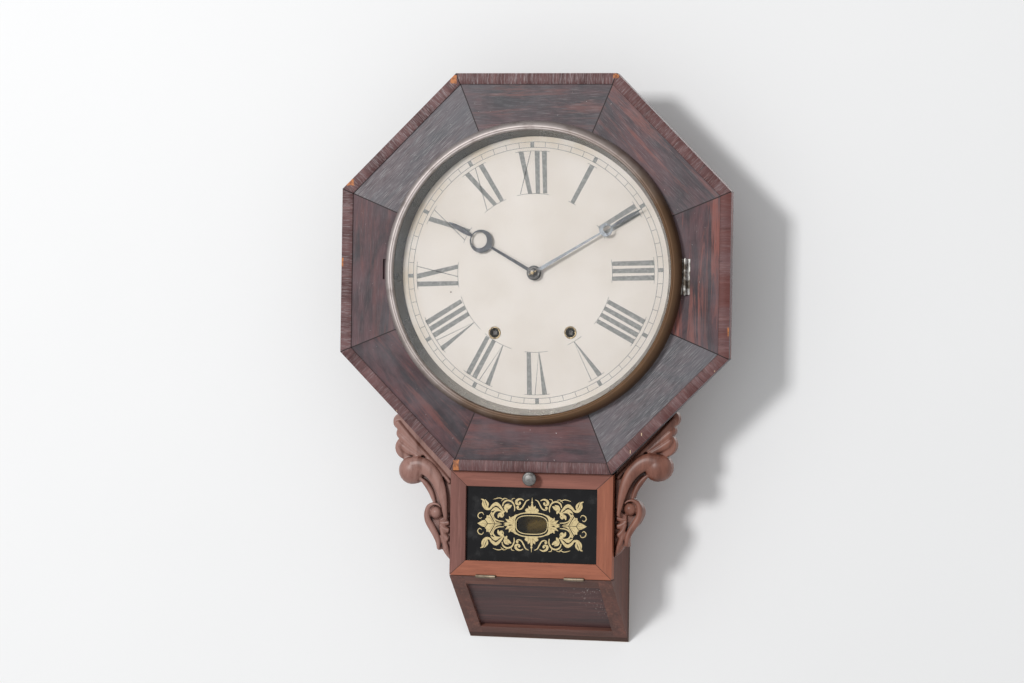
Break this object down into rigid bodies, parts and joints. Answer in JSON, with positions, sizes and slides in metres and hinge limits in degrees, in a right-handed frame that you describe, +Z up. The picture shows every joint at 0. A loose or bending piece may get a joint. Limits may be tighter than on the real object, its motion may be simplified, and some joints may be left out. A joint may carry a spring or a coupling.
{
  "type": "octagonal wall clock",
  "caption": "Octagonal wall clock with a short drop box, a hinged glazed sash over the dial, a fold-down lower door with a painted tablet, carved ears and a swinging pendulum.",
  "frame": {"origin": "on the wall plane behind the dial's centre", "axes": "+X to the right seen from the front, +Y from the front back to the wall, +Z up"},
  "size_m": [0.43, 0.121, 0.62],
  "materials": {
    "veneer": "gloss",
    "band_veneer": "gloss",
    "case_wood": "satin",
    "slope_wood": "gloss",
    "carved_wood": "satin",
    "door_wood": "gloss",
    "brass": "polished",
    "steel": "satin",
    "spring_steel": "satin",
    "iron": "matte",
    "clear_glass": "gloss",
    "black_glass": "gloss",
    "dial_paint": "satin",
    "blued_steel": "polished",
    "pewter": "satin"
  },
  "bodies": {
    "case": {"frame_top": "veneer", "frame_upper_right": "veneer", "frame_right": "veneer", "frame_lower_right": "veneer", "frame_bottom": "veneer", "frame_lower_left": "veneer", "frame_left": "veneer", "frame_upper_left": "veneer", "edge_bands": "band_veneer", "case_boards": "case_wood", "back_board": "case_wood", "hanger_plate": "steel", "drop_side_left": "case_wood", "drop_side_right": "case_wood", "slope_frame": "slope_wood", "slope_panel": "slope_wood", "stop_strip": "case_wood", "ear_left": "carved_wood", "ear_right": "carved_wood", "drop_hinge_leaves": "brass", "frame_hinge_leaf": "brass", "sash_catch": "steel", "dial_plate": "dial_paint", "movement_blocks": "case_wood", "back_plate": "brass", "front_plate": "brass", "plate_pillars": "steel", "mainsprings": "spring_steel", "gong_coil": "steel", "gong_block": "iron"},
    "sash": {"sash_ring": "brass", "sash_glass": "clear_glass", "sash_cone": "brass", "sash_hinge_leaf": "brass"},
    "lower_door": {"door_rails": "door_wood", "door_stiles": "door_wood", "tablet_glass": "black_glass", "tablet_beads": "case_wood", "door_hinge_leaves": "brass"},
    "knob": {"door_knob": "pewter", "latch_tongue": "steel"},
    "minute": {"minute_hand": "blued_steel", "centre_arbor": "steel"},
    "hour": {"hour_hand": "blued_steel", "hour_wheel": "brass"},
    "motion": {"motion_wheel": "brass"},
    "escape": {"escape_wheel": "brass"},
    "crutch": {"verge": "steel"},
    "pendulum": {"pendulum_rod": "steel", "pendulum_bob": "brass", "rating_nut": "brass"},
    "time_winding": {"time_winding_arbor": "brass"},
    "strike_winding": {"strike_winding_arbor": "brass"},
    "hammer": {"strike_hammer": "steel"}
  },
  "joints": [
    {"name": "sash_swing", "type": "hinge", "parent": "case", "child": "sash", "pos_m": [0.1665, -0.1069, -0.002], "axis": [0, 0, 1], "range_deg": [0, 110]},
    {"name": "lower_door_fold", "type": "hinge", "parent": "case", "child": "lower_door", "pos_m": [0, -0.0996, -0.3295], "axis": [1, 0, 0], "range_deg": [0, 170]},
    {"name": "knob_turn", "type": "hinge", "parent": "lower_door", "child": "knob", "pos_m": [0, -0.098, -0.222], "axis": [0, -1, 0], "range_deg": [0, 90]},
    {"name": "minute_hand_turn", "type": "hinge", "parent": "case", "child": "minute", "pos_m": [0, -0.1036, 0], "axis": [0, 1, 0], "continuous": true},
    {"name": "hour_hand_turn", "type": "hinge", "parent": "case", "child": "hour", "pos_m": [0, -0.1004, 0], "axis": [0, 1, 0], "continuous": true},
    {"name": "motion_wheel_turn", "type": "hinge", "parent": "case", "child": "motion", "pos_m": [0, -0.0608, -0.018], "axis": [0, 1, 0], "continuous": true},
    {"name": "escape_wheel_turn", "type": "hinge", "parent": "case", "child": "escape", "pos_m": [0, -0.062, 0.019], "axis": [0, 1, 0], "continuous": true},
    {"name": "pendulum_swing", "type": "hinge", "parent": "case", "child": "pendulum", "pos_m": [0, -0.071, 0.04], "axis": [0, 1, 0], "range_deg": [-4, 4]},
    {"name": "verge_rock", "type": "hinge", "parent": "case", "child": "crutch", "pos_m": [0, -0.061, 0.036], "axis": [0, 1, 0], "range_deg": [-6, 6]},
    {"name": "time_winding_turn", "type": "hinge", "parent": "case", "child": "time_winding", "pos_m": [0.0405, -0.0945, -0.0637], "axis": [0, 1, 0], "continuous": true},
    {"name": "strike_winding_turn", "type": "hinge", "parent": "case", "child": "strike_winding", "pos_m": [-0.0434, -0.0945, -0.0654], "axis": [0, 1, 0], "continuous": true},
    {"name": "hammer_lift", "type": "hinge", "parent": "case", "child": "hammer", "pos_m": [-0.01, -0.034, -0.09], "axis": [0, 1, 0], "range_deg": [0, 20]}
  ],
  "couplings": [
    {"joint": "hour_hand_turn", "follows": "minute_hand_turn", "ratio": 0.083333},
    {"joint": "motion_wheel_turn", "follows": "minute_hand_turn", "ratio": -0.33333},
    {"joint": "verge_rock", "follows": "pendulum_swing", "ratio": 1.4}
  ]
}
